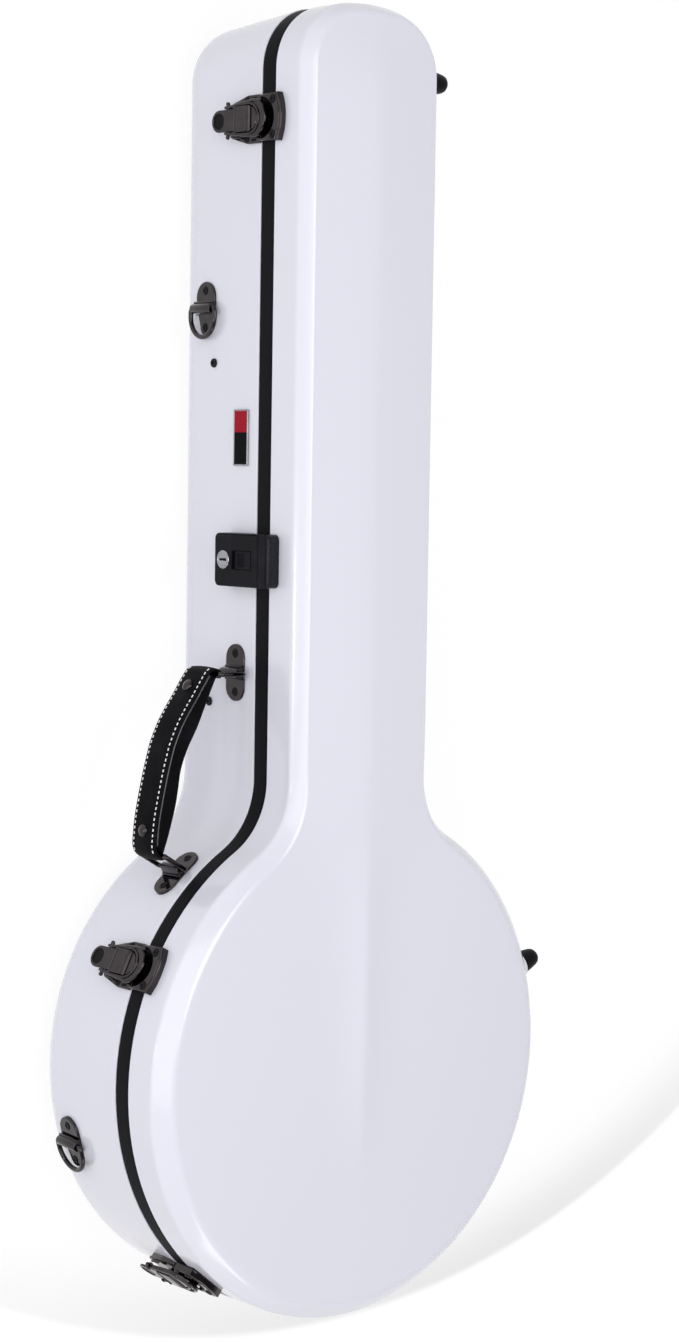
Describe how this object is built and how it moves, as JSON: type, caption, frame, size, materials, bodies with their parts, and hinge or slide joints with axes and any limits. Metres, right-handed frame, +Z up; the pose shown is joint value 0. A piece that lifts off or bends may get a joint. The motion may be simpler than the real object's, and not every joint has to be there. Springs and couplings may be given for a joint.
{
  "type": "banjo case",
  "caption": "Hard case for a resonator banjo: a moulded two-part shell with a seal band, hinged lid, draw latches, lock, leather handle, strap rings and a fitted interior.",
  "frame": {"origin": "centre of the round body, on the flat back face the case lies on", "axes": "+Z up from the back face to the lid, +Y along the neck to its end, +X to the hinge side"},
  "size_m": [0.4219, 1.03, 0.1774],
  "materials": {
    "shell": "smooth high gloss white",
    "seal": "matte black",
    "lining": "short black plush",
    "tab_leather": "black pull tab",
    "hardware": "polished black nickel",
    "handle_leather": "smooth black leather",
    "lock_plastic": "satin black",
    "steel": "bright plated steel",
    "enamel": "black enamel",
    "foot_rubber": "matte black",
    "screw_black": "black"
  },
  "bodies": {
    "case_base": {"base_shell": "shell", "seal_ring": "seal", "base_padding": "lining", "neck_cradle": "lining", "pocket_partition": "lining", "latch_upper_plate": "hardware", "latch_middle_plate": "hardware", "latch_lower_plate": "hardware", "hook_left_upper_clip": "hardware", "hook_left_lower_clip": "hardware", "hook_right_upper_clip": "hardware", "hook_right_lower_clip": "hardware", "handle_upper_bracket": "hardware", "handle_lower_bracket": "hardware", "lock_housing": "lock_plastic", "badge_frame": "steel", "badge_panel": "enamel", "hinge_upper_base_leaf": "hardware", "hinge_lower_base_leaf": "hardware", "hinge_upper_pin": "steel", "hinge_lower_pin": "steel", "foot_base_upper": "foot_rubber", "foot_base_lower": "foot_rubber", "side_screw_upper": "screw_black", "side_screw_lower": "screw_black"},
    "case_lid": {"lid_shell": "shell", "lid_padding": "lining", "latch_upper_keeper": "hardware", "latch_middle_keeper": "hardware", "latch_lower_keeper": "hardware", "lock_keeper": "lock_plastic", "hinge_upper_lid_leaf": "hardware", "hinge_lower_lid_leaf": "hardware", "foot_lid_upper": "foot_rubber", "foot_lid_lower": "foot_rubber"},
    "latch_upper_lever": {"latch_upper_lever": "hardware"},
    "latch_upper_hasp": {"latch_upper_hasp": "hardware"},
    "latch_middle_lever": {"latch_middle_lever": "hardware"},
    "latch_middle_hasp": {"latch_middle_hasp": "hardware"},
    "latch_lower_lever": {"latch_lower_lever": "hardware"},
    "latch_lower_hasp": {"latch_lower_hasp": "hardware"},
    "hook_left_upper_ring": {"hook_left_upper_ring": "hardware"},
    "hook_left_lower_ring": {"hook_left_lower_ring": "hardware"},
    "hook_right_upper_ring": {"hook_right_upper_ring": "hardware"},
    "hook_right_lower_ring": {"hook_right_lower_ring": "hardware"},
    "handle_upper_bail": {"handle_upper_bail": "hardware"},
    "handle_grip": {"handle_grip": "handle_leather", "handle_upper_stud": "hardware", "handle_lower_stud": "hardware"},
    "handle_lower_bail": {"handle_lower_bail": "hardware"},
    "lock_slider": {"lock_slider": "lock_plastic"},
    "lock_key_cylinder": {"lock_key_cylinder": "steel"},
    "pocket_lid": {"pocket_lid": "lining", "pocket_lid_tab": "tab_leather"}
  },
  "joints": [
    {"name": "lid_hinge", "type": "hinge", "parent": "case_base", "child": "case_lid", "pos_m": [0.20493, 0.03563, 0.1336], "axis": [-0.1713, 0.9852, 0], "range_deg": [0, 105]},
    {"name": "latch_upper_lever_hinge", "type": "hinge", "parent": "case_base", "child": "latch_upper_lever", "pos_m": [-0.0758, 0.738, 0.11], "axis": [0, 1, 0], "range_deg": [0, 95]},
    {"name": "latch_upper_hasp_hinge", "type": "hinge", "parent": "latch_upper_lever", "child": "latch_upper_hasp", "pos_m": [-0.077, 0.738, 0.0858], "axis": [0, 1, 0], "range_deg": [-110, 0]},
    {"name": "latch_middle_lever_hinge", "type": "hinge", "parent": "case_base", "child": "latch_middle_lever", "pos_m": [-0.18576, 0.09424, 0.11], "axis": [0.4524, 0.8918, 0], "range_deg": [0, 95]},
    {"name": "latch_middle_hasp_hinge", "type": "hinge", "parent": "latch_middle_lever", "child": "latch_middle_hasp", "pos_m": [-0.18683, 0.09478, 0.0858], "axis": [0.4524, 0.8918, 0], "range_deg": [-110, 0]},
    {"name": "latch_lower_lever_hinge", "type": "hinge", "parent": "case_base", "child": "latch_lower_lever", "pos_m": [-0.13389, -0.15957, 0.11], "axis": [-0.766, 0.6428, 0], "range_deg": [0, 95]},
    {"name": "latch_lower_hasp_hinge", "type": "hinge", "parent": "latch_lower_lever", "child": "latch_lower_hasp", "pos_m": [-0.13466, -0.16049, 0.0858], "axis": [-0.766, 0.6428, 0], "range_deg": [-110, 0]},
    {"name": "hook_left_upper_ring_hinge", "type": "hinge", "parent": "case_base", "child": "hook_left_upper_ring", "pos_m": [-0.06821, 0.5955, 0.04645], "axis": [0.0802, 0, -0.9968], "range_deg": [0, 165]},
    {"name": "hook_left_lower_ring_hinge", "type": "hinge", "parent": "case_base", "child": "hook_left_lower_ring", "pos_m": [-0.19265, -0.05633, 0.04645], "axis": [0.077, 0.0225, -0.9968], "range_deg": [0, 165]},
    {"name": "hook_right_upper_ring_hinge", "type": "hinge", "parent": "case_base", "child": "hook_right_upper_ring", "pos_m": [0.06821, 0.5955, 0.04645], "axis": [0.0802, 0, 0.9968], "range_deg": [0, 165]},
    {"name": "hook_right_lower_ring_hinge", "type": "hinge", "parent": "case_base", "child": "hook_right_lower_ring", "pos_m": [0.19265, -0.05633, 0.04645], "axis": [0.077, -0.0225, 0.9968], "range_deg": [0, 165]},
    {"name": "handle_upper_bail_hinge", "type": "hinge", "parent": "case_base", "child": "handle_upper_bail", "pos_m": [-0.07357, 0.31, 0.0933], "axis": [0, 0, 1], "range_deg": [-22, 22]},
    {"name": "handle_grip_hinge", "type": "hinge", "parent": "handle_upper_bail", "child": "handle_grip", "pos_m": [-0.09306, 0.31051, 0.0933], "axis": [0, 0, 1], "range_deg": [-24, 24]},
    {"name": "handle_lower_bail_hinge", "type": "hinge", "parent": "case_base", "child": "handle_lower_bail", "pos_m": [-0.1294, 0.16037, 0.0933], "axis": [0, 0, 1], "range_deg": [-22, 22]},
    {"name": "lock_slider_slide", "type": "slide", "parent": "case_base", "child": "lock_slider", "axis": [0, 0, 1], "range_m": [-0.005, 0], "stiffness_N_per_m": 400},
    {"name": "lock_key_turn", "type": "hinge", "parent": "case_base", "child": "lock_key_cylinder", "pos_m": [-0.0817, 0.399, 0.0921], "axis": [-1, 0, 0], "range_deg": [0, 90]},
    {"name": "pocket_lid_hinge", "type": "hinge", "parent": "case_base", "child": "pocket_lid", "pos_m": [0.0437, 0.436, 0.0659], "axis": [0, 1, 0], "range_deg": [0, 90]}
  ],
  "couplings": [
    {"joint": "latch_upper_hasp_hinge", "follows": "latch_upper_lever_hinge", "ratio": -1.15},
    {"joint": "latch_middle_hasp_hinge", "follows": "latch_middle_lever_hinge", "ratio": -1.15},
    {"joint": "latch_lower_hasp_hinge", "follows": "latch_lower_lever_hinge", "ratio": -1.15},
    {"joint": "handle_grip_hinge", "follows": "handle_upper_bail_hinge", "ratio": -1.067},
    {"joint": "handle_lower_bail_hinge", "follows": "handle_upper_bail_hinge", "ratio": 0.96}
  ]
}
